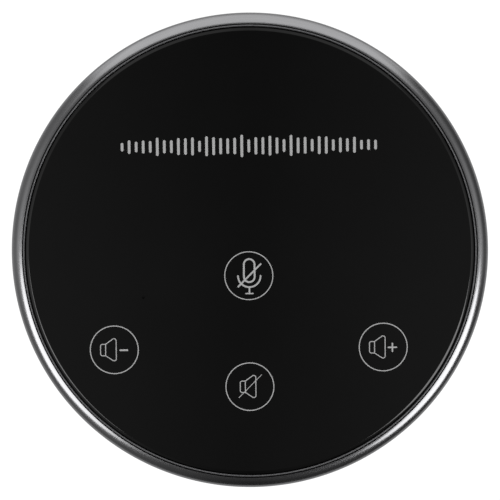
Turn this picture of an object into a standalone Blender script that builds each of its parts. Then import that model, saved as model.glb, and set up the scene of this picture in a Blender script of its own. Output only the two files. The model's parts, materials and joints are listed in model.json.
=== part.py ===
"""A round desktop microphone with touch keys, built as an assembly of separate parts.

Run it with blender --background --python part.py, or from Blender's text editor.
Units are metres and +Z is up. The origin is the centre of the footprint, on the table.
-Y is the user's side and +Y is the side with the sockets.
"""

import math

import bmesh
import bpy
from mathutils import Matrix, Vector

MM = 0.001

# Driving dimensions
OVERALL_RADIUS = 50.0 * MM
OVERALL_HEIGHT = 25.0 * MM
FIT_GAP = 0.25 * MM  # clear space kept between two pieces that meet

# How finely the round shapes are divided
OUTSIDE_STEPS = 60
INSIDE_STEPS = 48
SMALL_STEPS = 16
HOLE_STEPS = 12
BOSS_STEPS = 20
BOOT_STEPS = 24
CORNER_STEPS = 2
ROUND_END = 0.49  # share of a box's thickness that rounds its edges to a half circle

# Touch panel: a black glass disc with a rounded edge
PANEL_RADIUS = 46.88 * MM
PANEL_THICKNESS = 2.0 * MM
PANEL_EDGE_WIDTH = 0.65 * MM
PANEL_EDGE_DROP = 0.3 * MM
PANEL_UNDERSIDE = OVERALL_HEIGHT - PANEL_THICKNESS

# Adhesive ring that bonds the panel to its tray
ADHESIVE_THICKNESS = 0.3 * MM
ADHESIVE_INNER_RADIUS = 41.5 * MM
ADHESIVE_TOP = PANEL_UNDERSIDE - FIT_GAP

# Panel tray: the inner frame that carries the panel and clamps the trim ring
DECK_TOP = ADHESIVE_TOP - ADHESIVE_THICKNESS - FIT_GAP
DECK_THICKNESS = 2.0 * MM
DECK_UNDERSIDE = DECK_TOP - DECK_THICKNESS
TRAY_SKIRT_OUTER = 45.3 * MM
TRAY_SKIRT_INNER = 43.3 * MM
TRAY_SKIRT_DROP = 1.6 * MM
WELL_BORE = 4.5 * MM
WELL_WALL = 1.0 * MM
WELL_BOTTOM = 14.5 * MM
TRAY_BOSS_RADIUS = 3.4 * MM

# Trim ring: a metal ring around the panel, with a bead at its bore and a crown outside it
RING_BORE = PANEL_RADIUS + FIT_GAP
RING_CREST = OVERALL_HEIGHT - 0.2 * MM
RING_CROWN = 3.3 * MM
RING_CROWN_START = 7.3  # the crown's slopes at its inner and outer edges, in degrees
RING_CROWN_END = 45.0
RING_CORNER = 1.25 * MM
RING_BEAD = 0.2 * MM
RING_BOTTOM = 14.0 * MM
RING_FOOT_CHAMFER = 0.3 * MM
RING_WALL_INNER = 48.6 * MM
LEDGE_INNER = 45.6 * MM
LEDGE_TOP = DECK_UNDERSIDE - FIT_GAP
LEDGE_THICKNESS = 1.7 * MM

# Base shell: a bowl with a toe radius, a drafted wall and a spigot that enters the ring
SHELL_UNDERSIDE = 0.9 * MM
SHELL_FLOOR = 1.9 * MM
SHELL_SHOULDER = RING_BOTTOM - FIT_GAP
SHELL_SHOULDER_RADIUS = 49.3 * MM
SHELL_DRAFT = math.radians(10)
TOE_ROUND = 6.0 * MM
SHELL_INSIDE_RADIUS = 46.3 * MM
SPIGOT_RADIUS = RING_WALL_INNER - FIT_GAP
SPIGOT_TOP = LEDGE_TOP - LEDGE_THICKNESS - FIT_GAP
INSIDE_FLOOR = SHELL_UNDERSIDE + SHELL_FLOOR

# Foot ring and label, both let into the underside
FOOT_INNER = 29.5 * MM
FOOT_OUTER = 40.0 * MM
FOOT_GROOVE_DEPTH = 0.7 * MM
FOOT_EDGE = 0.3 * MM
LABEL_RADIUS = 20.0 * MM
LABEL_RECESS_DEPTH = 0.6 * MM
LABEL_THICKNESS = 0.3 * MM

# Sound slots around the wall, with the acoustic mesh behind them
SLOT_PITCH = 9.0
SLOT_WIDTH = 1.8 * MM
SLOT_HEIGHT = 4.8 * MM
SLOT_CENTRE_Z = 9.8 * MM
SLOT_REACH = 5.0 * MM
SLOT_CENTRE_RADIUS = 47.6 * MM
SLOTLESS_HALF_ANGLE = 24.0
MESH_THICKNESS = 0.3 * MM
MESH_RADIUS = SHELL_INSIDE_RADIUS - 2 * FIT_GAP
MESH_BOTTOM = 6.6 * MM
MESH_TOP = 13.0 * MM

# Circuit board
PCB_RADIUS = 40.0 * MM
PCB_THICKNESS = 1.6 * MM
PCB_UNDERSIDE = 11.0 * MM
PCB_TOP = PCB_UNDERSIDE + PCB_THICKNESS
PART_TOP_SEAT = PCB_TOP + FIT_GAP  # where a part on the board's upper side starts
PART_UNDER_SEAT = PCB_UNDERSIDE - FIT_GAP  # where a part on its lower side starts

# Case screws and their bosses
SCREW_PLACES = {
    "rear_right": (17.0 * MM, 29.4 * MM),
    "rear_left": (-17.0 * MM, 29.4 * MM),
    "front_left": (-17.0 * MM, -29.4 * MM),
    "front_right": (17.0 * MM, -29.4 * MM),
}
SCREW_RADIUS = 1.5 * MM
SCREW_LENGTH = 12.0 * MM
SCREW_HEAD_RADIUS = 2.7 * MM
SCREW_HEAD_HEIGHT = 2.0 * MM
SCREW_HEAD_SIDE = 0.7 * MM
SCREW_HEAD_FLAT_RADIUS = 1.9 * MM
SCREW_TIP = 1.0 * MM
SCREW_TIP_RADIUS = 0.5 * MM
SCREW_HOLE = SCREW_RADIUS + FIT_GAP
RECESS_WIDTH = 0.7 * MM
RECESS_SPAN = 3.0 * MM
RECESS_DEPTH = 1.1 * MM
BASE_BOSS_RADIUS = 4.2 * MM
COUNTERBORE_RADIUS = 3.1 * MM
COUNTERBORE_TOP = 6.0 * MM

# Touch keys: each has a spring from the board to the panel, with a light inside it
KEY_PLACES = {
    "mic_mute": (0.0, -4.9 * MM),
    "volume_down": (-28.2 * MM, -20.25 * MM),
    "volume_up": (28.2 * MM, -20.25 * MM),
    "speaker_mute": (0.0, -28.3 * MM),
}
SPRING_COIL_RADIUS = 3.0 * MM
SPRING_WIRE_RADIUS = 0.25 * MM
SPRING_TURNS = 5
SPRING_TURN_POINTS = 8
SPRING_FLAT_SHARE = 0.14  # share of the turns, at each end, that lies flat
LED_SIZE = (2.8 * MM, 2.2 * MM, 1.0 * MM)

# Weight plate, stuck to the floor of the base shell
WEIGHT_RADIUS = 38.5 * MM
WEIGHT_THICKNESS = 1.8 * MM
WEIGHT_TAPE_THICKNESS = 0.2 * MM
WEIGHT_TAPE_RADIUS = 26.0 * MM
WEIGHT_HOLE_RADIUS = BASE_BOSS_RADIUS + 0.4 * MM
WEIGHT_BOTTOM = INSIDE_FLOOR + WEIGHT_TAPE_THICKNESS + 2 * FIT_GAP

# Port bay: the recess in the rear wall with the sockets in its back face
BAY_HALF_WIDTH = 14.8 * MM
BAY_BACK = 42.6 * MM
BAY_BOTTOM = 4.2 * MM
BAY_TOP = 13.2 * MM
BAY_WALL = 1.6 * MM
BAY_INSET = 0.6 * MM
BAY_CORNER = 1.5 * MM

# USB-C socket
USB_X = 6.5 * MM
USB_WIDTH = 8.94 * MM
USB_HEIGHT = 3.2 * MM
USB_WALL = 0.3 * MM
USB_LENGTH = 7.6 * MM
USB_FRONT = BAY_BACK - 0.1 * MM
USB_Z = PART_UNDER_SEAT - USB_HEIGHT / 2
USB_TONGUE_WIDTH = 6.7 * MM
USB_TONGUE_THICKNESS = 0.7 * MM
USB_TONGUE_SETBACK = 0.9 * MM
USB_PLUG_DEPTH = 6.0 * MM
USB_LINER_GAP = 0.12 * MM

# Headphone socket
JACK_X = -7.0 * MM
JACK_WIDTH = 6.4 * MM
JACK_HEIGHT = 5.0 * MM
JACK_LENGTH = 11.0 * MM
JACK_BODY_FRONT = BAY_BACK - BAY_WALL - FIT_GAP
JACK_Z = PART_UNDER_SEAT - JACK_HEIGHT / 2
JACK_BARREL_RADIUS = 3.0 * MM
JACK_BARREL_END = BAY_BACK - 0.1 * MM
JACK_BORE = 1.8 * MM
JACK_BORE_DEPTH = 12.0 * MM
SLEEVE_WALL = 0.4 * MM
SLEEVE_LENGTH = 2.4 * MM

# Microphones: three capsules in rubber boots behind the slots
MIC_ANGLES = {"right": 30.0, "left": 150.0, "front": 270.0}
BOOT_RADIUS = 4.0 * MM
BOOT_BACK = 40.8 * MM
BOOT_FRONT = 44.9 * MM
BOOT_WALL = 0.9 * MM
CAPSULE_RADIUS = 2.8 * MM
CAPSULE_LENGTH = 2.7 * MM
CAPSULE_BACK = BOOT_BACK + BOOT_WALL + FIT_GAP
LEAD_RADIUS = 0.6 * MM
LEAD_HOLE = LEAD_RADIUS + 0.4 * MM
CONNECTOR_SIZE = (4.2 * MM, 5.0 * MM, 3.0 * MM)
CONNECTOR_DISTANCE = 33.5 * MM
CRADLE_RIB_THICKNESS = 1.2 * MM
CRADLE_RIB_BOTTOM = 2.4 * MM
CRADLE_RIB_TOP = 10.5 * MM

# Chips and other parts on the board's upper side: centre x, y and size
CODEC_PLACE = (0.0, 12.0 * MM)
CODEC_SIZE = (9.0 * MM, 9.0 * MM, 1.4 * MM)
TOUCH_CHIP_PLACE = (-15.0 * MM, -8.0 * MM)
TOUCH_CHIP_SIZE = (10.0 * MM, 4.4 * MM, 1.5 * MM)
CRYSTAL_PLACE = (14.0 * MM, 12.0 * MM)
CRYSTAL_SIZE = (11.0 * MM, 4.6 * MM, 3.5 * MM)
CAPACITOR_PLACES = {"inner": (-16.0 * MM, 12.0 * MM), "outer": (-24.0 * MM, 8.0 * MM)}
CAPACITOR_RADIUS = 3.1 * MM
CAPACITOR_HEIGHT = 5.4 * MM
CAPACITOR_EDGE = 0.4 * MM
CHIP_EDGE = 0.15 * MM


# Scene, materials and basic shapes


def clear_scene():
    for thing in list(bpy.data.objects):
        bpy.data.objects.remove(thing)


def new_collection(name):
    made = bpy.data.collections.new(name)
    bpy.context.scene.collection.children.link(made)
    return made


def new_material(name, colour, roughness, metallic=0.0):
    made = bpy.data.materials.new(name)
    made.use_nodes = True
    shader = made.node_tree.nodes["Principled BSDF"]
    shader.inputs["Base Color"].default_value = (*colour, 1.0)
    shader.inputs["Roughness"].default_value = roughness
    shader.inputs["Metallic"].default_value = metallic
    return made


def as_object(name, data, material=None):
    """A visible part if it has a material, or else a hidden cutter or helper."""
    made = bpy.data.objects.new(name, data)
    if material is None:
        TOOLS.objects.link(made)
        made.hide_render = True
        made.display_type = "WIRE"
    else:
        PARTS.objects.link(made)
        data.materials.append(material)
    return made


def arc(centre, radius, start, end, steps):
    """Points on a circle in a profile, as (r, z), from one angle to another in degrees."""
    angles = [math.radians(start + (end - start) * i / steps) for i in range(steps + 1)]
    return [
        (centre[0] + radius * math.cos(a), centre[1] + radius * math.sin(a))
        for a in angles
    ]


def turned(name, profile, material=None, steps=OUTSIDE_STEPS):
    """A turned shape about Z. A profile that starts and ends on the axis is left open there."""
    mesh = bpy.data.meshes.new(name)
    count = len(profile)
    edges = [(i, i + 1) for i in range(count - 1)]
    if profile[0][0] > 0:
        edges.append((count - 1, 0))
    mesh.from_pydata([(r, 0, z) for r, z in profile], edges, [])
    made = as_object(name, mesh, material)
    screw = made.modifiers.new("turn", "SCREW")
    screw.steps = screw.render_steps = steps
    screw.use_merge_vertices = True
    screw.merge_threshold = 0.00001
    return made


def mesh_object(name, build, material=None):
    """An object whose mesh is what build(bm) makes."""
    mesh = bpy.data.meshes.new(name)
    bm = bmesh.new()
    build(bm)
    bmesh.ops.recalc_face_normals(bm, faces=bm.faces)
    bm.to_mesh(mesh)
    bm.free()
    made = as_object(name, mesh, material)
    if material is not None:
        mesh.shade_smooth()
        mesh.set_sharp_from_angle(angle=math.radians(35))
    return made


def add_box(bm, size, centre, rounding=0.0, along=None, turn=None):
    """A box. With rounding, its edges along the axis numbered along are rounded, or all of them."""
    corners = bmesh.ops.create_cube(bm, size=1.0)["verts"]
    bmesh.ops.scale(bm, verts=corners, vec=size)
    if rounding:
        edges = {e for v in corners for e in v.link_edges}
        if along is not None:
            edges = {e for e in edges if abs((e.verts[0].co - e.verts[1].co)[along]) > 0}
        rounded = bmesh.ops.bevel(
            bm,
            geom=list(edges),
            offset=rounding,
            segments=CORNER_STEPS if along is not None else 1,
            profile=0.5,
            affect="EDGES",
        )
        kept = [v for v in corners if v.is_valid]
        corners = list({v for face in rounded["faces"] for v in face.verts}.union(kept))
    bmesh.ops.translate(bm, verts=corners, vec=centre)
    if turn is not None:
        bmesh.ops.transform(bm, matrix=turn, verts=corners)


def box(name, size, centre, material=None, rounding=0.0, along=None, turn=None):
    return mesh_object(name, lambda bm: add_box(bm, size, centre, rounding, along, turn), material)


def add_cylinder(bm, radius, start, end, steps=SMALL_STEPS):
    """A cylinder from one point to another."""
    start, end = Vector(start), Vector(end)
    direction = end - start
    turn = direction.to_track_quat("Z", "Y").to_matrix().to_4x4()
    bmesh.ops.create_cone(
        bm,
        cap_ends=True,
        segments=steps,
        radius1=radius,
        radius2=radius,
        depth=direction.length,
        matrix=Matrix.Translation((start + end) / 2) @ turn,
    )


def cylinders(name, radius, spans, material=None, steps=SMALL_STEPS):
    """One object with a cylinder for each (start, end) span."""

    def build(bm):
        for start, end in spans:
            add_cylinder(bm, radius, start, end, steps)

    return mesh_object(name, build, material)


def upright(places, bottom, top):
    """Spans of upright cylinders at these places."""
    return [((x, y, bottom), (x, y, top)) for x, y in places]


def boolean(target, other, operation):
    modifier = target.modifiers.new(f"{operation.lower()} {other.name}", "BOOLEAN")
    modifier.operation = operation
    modifier.object = other


def join(target, *others):
    for other in others:
        boolean(target, other, "UNION")


def cut(target, *others):
    for other in others:
        boolean(target, other, "DIFFERENCE")


def wire(name, points, radius, material, sides=2):
    """A round wire through these points. Its bevel_resolution is sides."""
    curve = bpy.data.curves.new(name, "CURVE")
    curve.dimensions = "3D"
    curve.bevel_depth = radius
    curve.bevel_resolution = sides
    curve.use_fill_caps = True
    spline = curve.splines.new("POLY")
    spline.points.add(len(points) - 1)
    for point, place in zip(spline.points, points):
        point.co = (*place, 1.0)
    return as_object(name, curve, material)


def around(angle):
    """The turn about Z that carries +X to this angle in degrees."""
    return Matrix.Rotation(math.radians(angle), 4, "Z")


# Panel, tray and ring


def make_touch_panel(glass):
    edge = [
        (
            PANEL_RADIUS - PANEL_EDGE_WIDTH * (1 - math.sin(a)),
            OVERALL_HEIGHT - PANEL_EDGE_DROP * (1 - math.cos(a)),
        )
        for a in (math.radians(30 * i) for i in range(4))
    ]
    rim = [(PANEL_RADIUS, PANEL_UNDERSIDE)]
    return turned("touch_panel", [(0, OVERALL_HEIGHT), *edge, *rim, (0, PANEL_UNDERSIDE)], glass)


def flat_ring(inner, outer, bottom, top):
    return [(inner, top), (outer, top), (outer, bottom), (inner, bottom)]


def make_panel_adhesive(film):
    bottom = ADHESIVE_TOP - ADHESIVE_THICKNESS
    outer = PANEL_RADIUS - FIT_GAP
    profile = flat_ring(ADHESIVE_INNER_RADIUS, outer, bottom, ADHESIVE_TOP)
    return turned("panel_adhesive", profile, film, INSIDE_STEPS)


def make_panel_tray(plastic):
    skirt_bottom = DECK_UNDERSIDE - TRAY_SKIRT_DROP
    profile = [
        (0, DECK_TOP),
        (PANEL_RADIUS, DECK_TOP),
        (PANEL_RADIUS, DECK_UNDERSIDE),
        (TRAY_SKIRT_OUTER, DECK_UNDERSIDE),
        (TRAY_SKIRT_OUTER, skirt_bottom),
        (TRAY_SKIRT_INNER, skirt_bottom),
        (TRAY_SKIRT_INNER, DECK_UNDERSIDE),
        (0, DECK_UNDERSIDE),
    ]
    tray = turned("panel_tray", profile, plastic)
    keys, screws = KEY_PLACES.values(), SCREW_PLACES.values()
    inside_deck = (DECK_TOP + DECK_UNDERSIDE) / 2
    above_deck = DECK_TOP + DECK_THICKNESS
    well_spans = upright(keys, WELL_BOTTOM, inside_deck)
    wells = cylinders("tray_well_walls", WELL_BORE + WELL_WALL, well_spans, steps=BOSS_STEPS)
    bosses = cylinders("tray_boss_walls", TRAY_BOSS_RADIUS, upright(screws, PART_TOP_SEAT, inside_deck))
    bore_spans = upright(keys, PCB_UNDERSIDE, above_deck)
    bores = cylinders("tray_well_bores", WELL_BORE, bore_spans, steps=BOSS_STEPS)
    pilot_spans = upright(screws, PCB_UNDERSIDE, DECK_UNDERSIDE)
    pilots = cylinders("tray_pilot_holes", SCREW_HOLE, pilot_spans, steps=HOLE_STEPS)
    join(tray, wells, bosses)
    cut(tray, bores, pilots)
    return tray


def make_trim_ring(metal):
    bead = arc((RING_BORE + RING_BEAD, RING_CREST - RING_BEAD), RING_BEAD, 180, 90, 2)
    start, end = math.radians(RING_CROWN_START), math.radians(RING_CROWN_END)
    crown_height = RING_CREST - RING_CROWN * math.cos(start)
    centre_gap = RING_CROWN - RING_CORNER
    corner_radius = OVERALL_RADIUS - RING_CORNER
    crown_centre = (corner_radius - centre_gap * math.sin(end), crown_height)
    corner_centre = (corner_radius, crown_height + centre_gap * math.cos(end))
    crown = arc(crown_centre, RING_CROWN, 90 - RING_CROWN_START, 90 - RING_CROWN_END, 4)
    corner = arc(corner_centre, RING_CORNER, 90 - RING_CROWN_END, 0, 2)
    ledge_bottom = LEDGE_TOP - LEDGE_THICKNESS
    profile = [
        *bead,
        *crown,
        *corner[1:],
        (OVERALL_RADIUS, RING_BOTTOM + RING_FOOT_CHAMFER),
        (OVERALL_RADIUS - RING_FOOT_CHAMFER, RING_BOTTOM),
        (RING_WALL_INNER, RING_BOTTOM),
        (RING_WALL_INNER, ledge_bottom),
        (LEDGE_INNER, ledge_bottom),
        (LEDGE_INNER, LEDGE_TOP),
        (RING_BORE, LEDGE_TOP),
    ]
    return turned("trim_ring", profile, metal)


# Base shell and what is fixed to it


def shell_outside(inset=0.0):
    """The base shell's outer surface from its shoulder down to its underside, moved in by inset."""
    toe_end = -math.degrees(SHELL_DRAFT)
    wall_rise = SHELL_SHOULDER - (SHELL_UNDERSIDE + TOE_ROUND * (1 - math.sin(SHELL_DRAFT)))
    wall_foot = SHELL_SHOULDER_RADIUS - wall_rise * math.tan(SHELL_DRAFT)
    toe_centre = (wall_foot - TOE_ROUND * math.cos(SHELL_DRAFT), SHELL_UNDERSIDE + TOE_ROUND)
    toe = arc(toe_centre, TOE_ROUND - inset, toe_end, -90, 6)
    return [(SHELL_SHOULDER_RADIUS - inset, SHELL_SHOULDER), *toe]


def shell_profile():
    outside = shell_outside()
    toe_centre_radius = outside[-1][0]
    inside_round = SHELL_INSIDE_RADIUS - toe_centre_radius
    inside_toe = arc((toe_centre_radius, INSIDE_FLOOR + inside_round), inside_round, -90, 0, 4)
    groove_top = SHELL_UNDERSIDE + FOOT_GROOVE_DEPTH
    label_top = SHELL_UNDERSIDE + LABEL_RECESS_DEPTH
    return [
        (0, INSIDE_FLOOR),
        *inside_toe,
        (SHELL_INSIDE_RADIUS, SPIGOT_TOP),
        (SPIGOT_RADIUS, SPIGOT_TOP),
        (SPIGOT_RADIUS, SHELL_SHOULDER),
        *outside,
        (FOOT_OUTER, SHELL_UNDERSIDE),
        (FOOT_OUTER, groove_top),
        (FOOT_INNER, groove_top),
        (FOOT_INNER, SHELL_UNDERSIDE),
        (LABEL_RADIUS, SHELL_UNDERSIDE),
        (LABEL_RADIUS, label_top),
        (0, label_top),
    ]


def slot_angles():
    """The angles of the sound slots. There are none behind the port bay."""
    angles = [SLOT_PITCH * i for i in range(round(360 / SLOT_PITCH))]
    return [a for a in angles if abs(a - 90) > SLOTLESS_HALF_ANGLE]


def slot_cutter():
    """A round-ended slot through the wall at each slot angle."""
    size = (SLOT_REACH, SLOT_WIDTH, SLOT_HEIGHT)
    centre = (SLOT_CENTRE_RADIUS, 0, SLOT_CENTRE_Z)

    def build(bm):
        for angle in slot_angles():
            add_box(bm, size, centre, ROUND_END * SLOT_WIDTH, 0, around(angle))

    return mesh_object("sound_slots", build)


def bay_block():
    """The solid that the port bay is cut from. It follows the shell's outer surface, just inside it."""
    depth = OVERALL_RADIUS - BAY_BACK + BAY_WALL
    height = BAY_TOP + BAY_WALL - SHELL_UNDERSIDE
    size = (2 * (BAY_HALF_WIDTH + BAY_WALL), depth, height)
    centre = (0, BAY_BACK - BAY_WALL + depth / 2, SHELL_UNDERSIDE + height / 2)
    block = box("bay_block", size, centre)
    inside = shell_outside(BAY_INSET)
    neck = SPIGOT_RADIUS - FIT_GAP
    top = [(0, SPIGOT_TOP), (neck, SPIGOT_TOP), (neck, SHELL_SHOULDER)]
    limit_profile = [*top, *inside, (0, inside[-1][1])]
    limit = turned("bay_limit", limit_profile)
    boolean(block, limit, "INTERSECT")
    return block


def bay_pocket():
    depth = OVERALL_RADIUS - BAY_BACK
    size = (2 * BAY_HALF_WIDTH, 2 * depth, BAY_TOP - BAY_BOTTOM)
    centre = (0, BAY_BACK + depth, (BAY_TOP + BAY_BOTTOM) / 2)
    return box("bay_pocket", size, centre, rounding=BAY_CORNER, along=1)


def socket_holes():
    """The holes in the bay's back face for the two sockets."""
    wall_middle = BAY_BACK - BAY_WALL / 2
    through = 4 * BAY_WALL

    def build(bm):
        size = (USB_WIDTH + 2 * FIT_GAP, through, USB_HEIGHT + 2 * FIT_GAP)
        add_box(bm, size, (USB_X, wall_middle, USB_Z), ROUND_END * size[2], 1)
        start = (JACK_X, wall_middle - through / 2, JACK_Z)
        end = (JACK_X, wall_middle + through / 2, JACK_Z)
        add_cylinder(bm, JACK_BARREL_RADIUS + FIT_GAP, start, end, BOSS_STEPS)

    return mesh_object("socket_holes", build)


def cradle_ribs():
    """Two ribs beside each microphone boot, standing on the toe of the shell."""
    size = (BOOT_FRONT - BOOT_BACK, CRADLE_RIB_THICKNESS, CRADLE_RIB_TOP - CRADLE_RIB_BOTTOM)
    middle = (BOOT_FRONT + BOOT_BACK) / 2
    offset = BOOT_RADIUS + FIT_GAP + CRADLE_RIB_THICKNESS / 2

    def build(bm):
        for angle in MIC_ANGLES.values():
            for side in (-1, 1):
                centre = (middle, side * offset, (CRADLE_RIB_TOP + CRADLE_RIB_BOTTOM) / 2)
                add_box(bm, size, centre, turn=around(angle))

    return mesh_object("cradle_ribs", build)


def make_base_shell(plastic):
    shell = turned("base_shell", shell_profile(), plastic)
    places = SCREW_PLACES.values()
    inside_floor = (SHELL_UNDERSIDE + FOOT_GROOVE_DEPTH + INSIDE_FLOOR) / 2
    boss_spans = upright(places, inside_floor, PART_UNDER_SEAT)
    bosses = cylinders("base_bosses", BASE_BOSS_RADIUS, boss_spans, steps=BOSS_STEPS)
    counterbores = cylinders("counterbores", COUNTERBORE_RADIUS, upright(places, 0, COUNTERBORE_TOP))
    screw_holes = cylinders("screw_holes", SCREW_HOLE, upright(places, 0, PCB_TOP), steps=HOLE_STEPS)
    join(shell, bosses, bay_block(), cradle_ribs())
    cut(shell, bay_pocket(), socket_holes(), slot_cutter(), counterbores, screw_holes)
    return shell


def make_foot_ring(rubber):
    inner, outer = FOOT_INNER + FIT_GAP, FOOT_OUTER - FIT_GAP
    top = SHELL_UNDERSIDE + FOOT_GROOVE_DEPTH - FIT_GAP
    profile = [
        (inner, top),
        (outer, top),
        (outer, FOOT_EDGE),
        (outer - FOOT_EDGE, 0),
        (inner + FOOT_EDGE, 0),
        (inner, FOOT_EDGE),
    ]
    return turned("foot_ring", profile, rubber, INSIDE_STEPS)


def make_label_plate(film):
    top = SHELL_UNDERSIDE + LABEL_RECESS_DEPTH - FIT_GAP
    profile = [
        (0, top),
        (LABEL_RADIUS - FIT_GAP, top),
        (LABEL_RADIUS - FIT_GAP, top - LABEL_THICKNESS),
        (0, top - LABEL_THICKNESS),
    ]
    return turned("label_plate", profile, film, INSIDE_STEPS)


def make_acoustic_mesh(cloth):
    profile = flat_ring(MESH_RADIUS - MESH_THICKNESS, MESH_RADIUS, MESH_BOTTOM, MESH_TOP)
    band = turned("acoustic_mesh", profile, cloth)
    opening = box(
        "mesh_opening",
        (2 * (BAY_HALF_WIDTH + BAY_WALL + FIT_GAP), OVERALL_RADIUS, OVERALL_HEIGHT),
        (0, OVERALL_RADIUS, OVERALL_HEIGHT / 2),
    )
    cut(band, opening)
    return band


def make_weight_plate(steel):
    top = WEIGHT_BOTTOM + WEIGHT_THICKNESS
    profile = [(0, top), (WEIGHT_RADIUS, top), (WEIGHT_RADIUS, WEIGHT_BOTTOM), (0, WEIGHT_BOTTOM)]
    plate = turned("weight_plate", profile, steel, INSIDE_STEPS)
    holes = upright(SCREW_PLACES.values(), 0, OVERALL_HEIGHT)
    cut(plate, cylinders("weight_holes", WEIGHT_HOLE_RADIUS, holes))
    return plate


def make_weight_tape(film):
    bottom = INSIDE_FLOOR + FIT_GAP
    top = bottom + WEIGHT_TAPE_THICKNESS
    profile = [(0, top), (WEIGHT_TAPE_RADIUS, top), (WEIGHT_TAPE_RADIUS, bottom), (0, bottom)]
    return turned("weight_tape", profile, film, INSIDE_STEPS)


# Circuit board and what is on it


def make_main_pcb(laminate):
    profile = [(0, PCB_TOP), (PCB_RADIUS, PCB_TOP), (PCB_RADIUS, PCB_UNDERSIDE), (0, PCB_UNDERSIDE)]
    board = turned("main_pcb", profile, laminate)
    holes = upright(SCREW_PLACES.values(), 0, OVERALL_HEIGHT)
    cut(board, cylinders("pcb_holes", SCREW_HOLE, holes, steps=HOLE_STEPS))
    return board


def make_touch_spring(name, place, steel):
    """A coil with flat ends, from the board up to the panel."""
    bottom = PART_TOP_SEAT + SPRING_WIRE_RADIUS
    top = PANEL_UNDERSIDE - FIT_GAP - SPRING_WIRE_RADIUS
    count = SPRING_TURNS * SPRING_TURN_POINTS
    points = []
    for i in range(count + 1):
        share = i / count
        angle = math.tau * SPRING_TURNS * share
        climb = (share - SPRING_FLAT_SHARE) / (1 - 2 * SPRING_FLAT_SHARE)
        x = place[0] + SPRING_COIL_RADIUS * math.cos(angle)
        y = place[1] + SPRING_COIL_RADIUS * math.sin(angle)
        z = bottom + (top - bottom) * max(0.0, min(1.0, climb))
        points.append((x, y, z))
    return wire(f"touch_spring_{name}", points, SPRING_WIRE_RADIUS, steel, sides=1)


def on_board(name, place, size, material, rounding=CHIP_EDGE):
    """A block that sits on the board's upper side."""
    centre = (*place, PART_TOP_SEAT + size[2] / 2)
    return box(name, size, centre, material, rounding)


def make_capacitor(name, place, can):
    top = PART_TOP_SEAT + CAPACITOR_HEIGHT
    profile = [
        (0, top),
        (CAPACITOR_RADIUS - CAPACITOR_EDGE, top),
        (CAPACITOR_RADIUS, top - CAPACITOR_EDGE),
        (CAPACITOR_RADIUS, PART_TOP_SEAT),
        (0, PART_TOP_SEAT),
    ]
    made = turned(f"filter_capacitor_{name}", profile, can, SMALL_STEPS)
    made.location = (*place, 0)
    return made


def make_usb_socket(steel, plastic):
    middle = USB_FRONT - USB_LENGTH / 2
    shell_size = (USB_WIDTH, USB_LENGTH, USB_HEIGHT)
    shell = box("usb_socket_shell", shell_size, (USB_X, middle, USB_Z), steel, ROUND_END * USB_HEIGHT, 1)
    inner_height = USB_HEIGHT - 2 * USB_WALL
    inner_size = (USB_WIDTH - 2 * USB_WALL, 2 * USB_LENGTH, inner_height)
    inner_round = ROUND_END * inner_height
    cut(shell, box("usb_socket_inside", inner_size, (USB_X, middle, USB_Z), None, inner_round, 1))

    tongue_length = USB_LENGTH - USB_TONGUE_SETBACK
    tongue_size = (USB_TONGUE_WIDTH, tongue_length, USB_TONGUE_THICKNESS)
    tongue_middle = USB_FRONT - USB_TONGUE_SETBACK - tongue_length / 2
    tongue = box("usb_socket_tongue", tongue_size, (USB_X, tongue_middle, USB_Z), plastic)
    liner_depth = USB_LENGTH - USB_PLUG_DEPTH
    liner_height = inner_height - 2 * USB_LINER_GAP
    liner_size = (inner_size[0] - 2 * USB_LINER_GAP, liner_depth, liner_height)
    liner_middle = USB_FRONT - USB_LENGTH + liner_depth / 2 - FIT_GAP
    liner_round = ROUND_END * liner_height
    liner = box("usb_socket_liner", liner_size, (USB_X, liner_middle, USB_Z), None, liner_round, 1)
    join(tongue, liner)
    return shell, tongue


def make_headphone_socket(plastic, brass):
    middle = JACK_BODY_FRONT - JACK_LENGTH / 2
    body = box(
        "headphone_socket_body",
        (JACK_WIDTH, JACK_LENGTH, JACK_HEIGHT),
        (JACK_X, middle, JACK_Z),
        plastic,
        CHIP_EDGE,
    )

    def span(start, end):
        return [((JACK_X, start, JACK_Z), (JACK_X, end, JACK_Z))]

    barrel_start = JACK_BODY_FRONT - BAY_WALL / 2
    barrel_span = span(barrel_start, JACK_BARREL_END)
    barrel = cylinders("jack_barrel", JACK_BARREL_RADIUS - FIT_GAP, barrel_span, steps=BOSS_STEPS)
    seat_start = JACK_BARREL_END - SLEEVE_LENGTH - FIT_GAP
    seat_radius = JACK_BORE + SLEEVE_WALL + FIT_GAP
    past_end = JACK_BARREL_END + BAY_WALL
    seat = cylinders("jack_sleeve_seat", seat_radius, span(seat_start, past_end), steps=BOSS_STEPS)
    bore = cylinders("jack_bore", JACK_BORE, span(JACK_BARREL_END - JACK_BORE_DEPTH, past_end))
    join(body, barrel)
    cut(body, seat, bore)

    sleeve_radius = JACK_BORE + SLEEVE_WALL
    sleeve_span = span(JACK_BARREL_END - SLEEVE_LENGTH, JACK_BARREL_END)
    sleeve = cylinders("headphone_socket_sleeve", sleeve_radius, sleeve_span, brass, steps=BOSS_STEPS)
    sleeve_bore_span = span(seat_start - BAY_WALL, past_end)
    cut(sleeve, cylinders("jack_sleeve_bore", JACK_BORE, sleeve_bore_span, steps=BOSS_STEPS))
    return body, sleeve


# Microphones


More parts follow.
